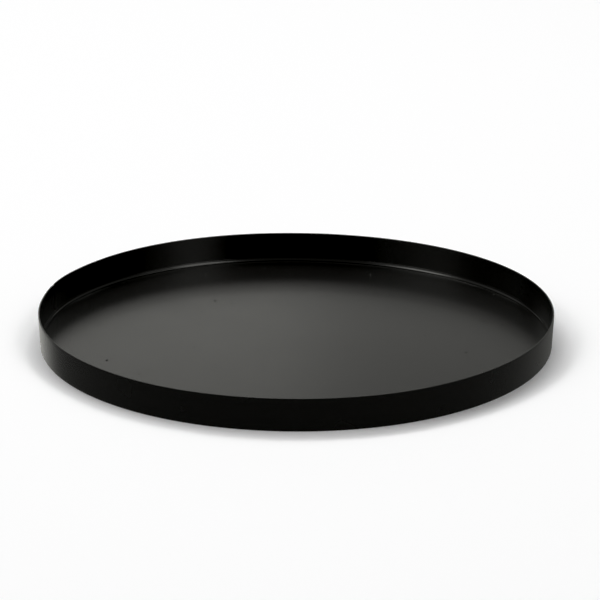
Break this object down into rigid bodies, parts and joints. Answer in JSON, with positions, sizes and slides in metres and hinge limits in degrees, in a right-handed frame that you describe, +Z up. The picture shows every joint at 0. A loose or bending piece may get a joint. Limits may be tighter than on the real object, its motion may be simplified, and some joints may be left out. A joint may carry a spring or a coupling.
{
  "type": "serving tray",
  "caption": "Round shallow serving tray of black powder-coated sheet steel, with a flat floor and a low plain wall rolled from strip and welded to it.",
  "frame": {"origin": "centre of the tray's underside, on the surface that it rests on", "axes": "+Z up, along the axis of the round tray; +Y is the back and +X the right, which only fix where the seam of the wall lies"},
  "size_m": [0.4, 0.4, 0.025],
  "materials": {
    "black_powder_coat": "satin black powder coat with a fine orange peel over sheet steel"
  },
  "bodies": {
    "root": {"base_disc": "black_powder_coat", "wall_band": "black_powder_coat", "corner_bead": "black_powder_coat", "wall_seam_weld": "black_powder_coat"}
  },
  "joints": []
}
